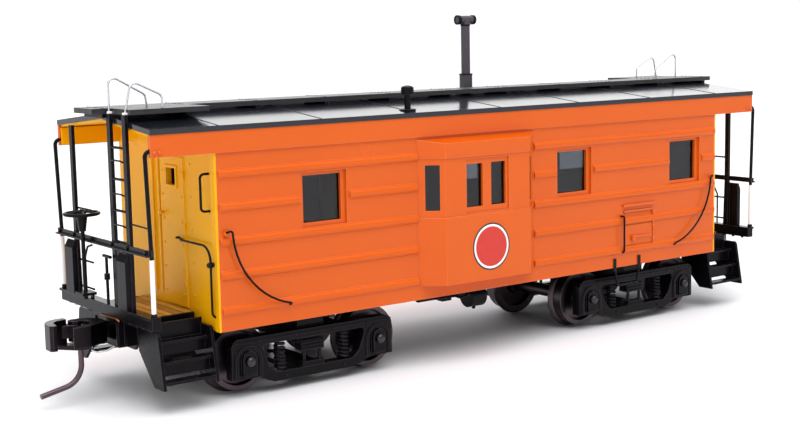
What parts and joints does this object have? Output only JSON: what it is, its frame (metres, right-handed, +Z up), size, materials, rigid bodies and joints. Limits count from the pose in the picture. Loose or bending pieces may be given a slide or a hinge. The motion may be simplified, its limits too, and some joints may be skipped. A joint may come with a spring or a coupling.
{
  "type": "model railway caboose",
  "caption": "Small-scale model caboose with ribbed orange sides, bay windows, open end platforms, swivelling trucks, rolling wheelsets and sprung knuckle couplers.",
  "frame": {"origin": "middle of the car at floor level, under the wheel flanges", "axes": "+X along the car towards its rear end, +Y across it, +Z up"},
  "size_m": [0.146, 0.0364, 0.0552],
  "materials": {
    "orange_paint": "satin moulded plastic, painted orange",
    "yellow_paint": "satin moulded plastic, painted yellow",
    "roof_paint": "semi-gloss dark grey",
    "black_plastic": "satin black",
    "dark_wood": "matt dark grey moulded planks",
    "deck_wood": "matt brown moulded planks",
    "white_plastic": "satin white",
    "window_clear": "clear, dark behind",
    "steel_block": "plain steel",
    "bright_wire": "drawn wire",
    "coupler_metal": "blackened casting",
    "blued_wire": "blackened wire",
    "wheel_metal": "blackened, bright tread"
  },
  "bodies": {
    "car": {"side_walls": "orange_paint", "window_frames": "orange_paint", "side_glass": "window_clear", "bay_windows": "orange_paint", "bay_frames": "orange_paint", "bay_glass": "window_clear", "end_walls": "yellow_paint", "door_glass": "window_clear", "roof": "roof_paint", "porch_ceilings": "yellow_paint", "eave_fascias": "orange_paint", "floor_plate": "black_plastic", "weight_block": "steel_block", "truck_screws": "steel_block", "platform_decks": "deck_wood", "platform_frames": "black_plastic", "end_sills": "black_plastic", "step_wells": "black_plastic", "corner_posts": "black_plastic", "post_grips": "white_plastic", "end_rails": "black_plastic", "end_posts": "black_plastic", "end_ladders": "black_plastic", "brake_stand": "black_plastic", "brake_wheel": "black_plastic", "running_board": "dark_wood", "board_saddles": "black_plastic", "roof_platforms": "dark_wood", "smoke_stack": "dark_wood", "roof_vent": "dark_wood", "roof_grabs": "bright_wire", "side_handrails": "black_plastic", "end_handrails": "black_plastic", "side_grabs": "black_plastic", "sill_steps": "black_plastic", "equipment_doors": "orange_paint", "air_valves": "black_plastic", "brake_gear": "black_plastic", "draft_boxes": "black_plastic"},
    "truck_front": {"truck_frame_front": "black_plastic", "truck_springs_front": "dark_wood"},
    "truck_rear": {"truck_frame_rear": "black_plastic", "truck_springs_rear": "dark_wood"},
    "wheelset_1_body": {"wheelset_1": "wheel_metal"},
    "wheelset_2_body": {"wheelset_2": "wheel_metal"},
    "wheelset_3_body": {"wheelset_3": "wheel_metal"},
    "wheelset_4_body": {"wheelset_4": "wheel_metal"},
    "coupler_front_body": {"coupler_front": "coupler_metal"},
    "coupler_rear_body": {"coupler_rear": "coupler_metal"},
    "knuckle_front_body": {"knuckle_front": "coupler_metal", "trip_pin_front": "blued_wire"},
    "knuckle_rear_body": {"knuckle_rear": "coupler_metal", "trip_pin_rear": "blued_wire"}
  },
  "joints": [
    {"name": "truck_front_swivel", "type": "hinge", "parent": "car", "child": "truck_front", "pos_m": [-0.03461, 0, 0.00813], "axis": [0, 0, 1], "range_deg": [-5, 5]},
    {"name": "truck_rear_swivel", "type": "hinge", "parent": "car", "child": "truck_rear", "pos_m": [0.03461, 0, 0.00813], "axis": [0, 0, 1], "range_deg": [-5, 5]},
    {"name": "wheelset_1_roll", "type": "hinge", "parent": "truck_front", "child": "wheelset_1_body", "pos_m": [-0.04621, 0, 0.00546], "axis": [0, 1, 0], "continuous": true},
    {"name": "wheelset_2_roll", "type": "hinge", "parent": "truck_front", "child": "wheelset_2_body", "pos_m": [-0.02301, 0, 0.00546], "axis": [0, 1, 0], "continuous": true},
    {"name": "wheelset_3_roll", "type": "hinge", "parent": "truck_rear", "child": "wheelset_3_body", "pos_m": [0.02301, 0, 0.00546], "axis": [0, 1, 0], "continuous": true},
    {"name": "wheelset_4_roll", "type": "hinge", "parent": "truck_rear", "child": "wheelset_4_body", "pos_m": [0.04621, 0, 0.00546], "axis": [0, 1, 0], "continuous": true},
    {"name": "coupler_front_swing", "type": "hinge", "parent": "car", "child": "coupler_front_body", "pos_m": [-0.0575, 0, 0.01055], "axis": [0, 0, 1], "range_deg": [-8, 8], "stiffness_Nm_per_rad": 0.002},
    {"name": "knuckle_front_open", "type": "hinge", "parent": "coupler_front_body", "child": "knuckle_front_body", "pos_m": [-0.0664, 0.0023, 0.01055], "axis": [0, 0, 1], "range_deg": [-25, 0], "stiffness_Nm_per_rad": 0.001},
    {"name": "coupler_rear_swing", "type": "hinge", "parent": "car", "child": "coupler_rear_body", "pos_m": [0.0575, 0, 0.01055], "axis": [0, 0, 1], "range_deg": [-8, 8], "stiffness_Nm_per_rad": 0.002},
    {"name": "knuckle_rear_open", "type": "hinge", "parent": "coupler_rear_body", "child": "knuckle_rear_body", "pos_m": [0.0664, -0.0023, 0.01055], "axis": [0, 0, 1], "range_deg": [-25, 0], "stiffness_Nm_per_rad": 0.001}
  ]
}
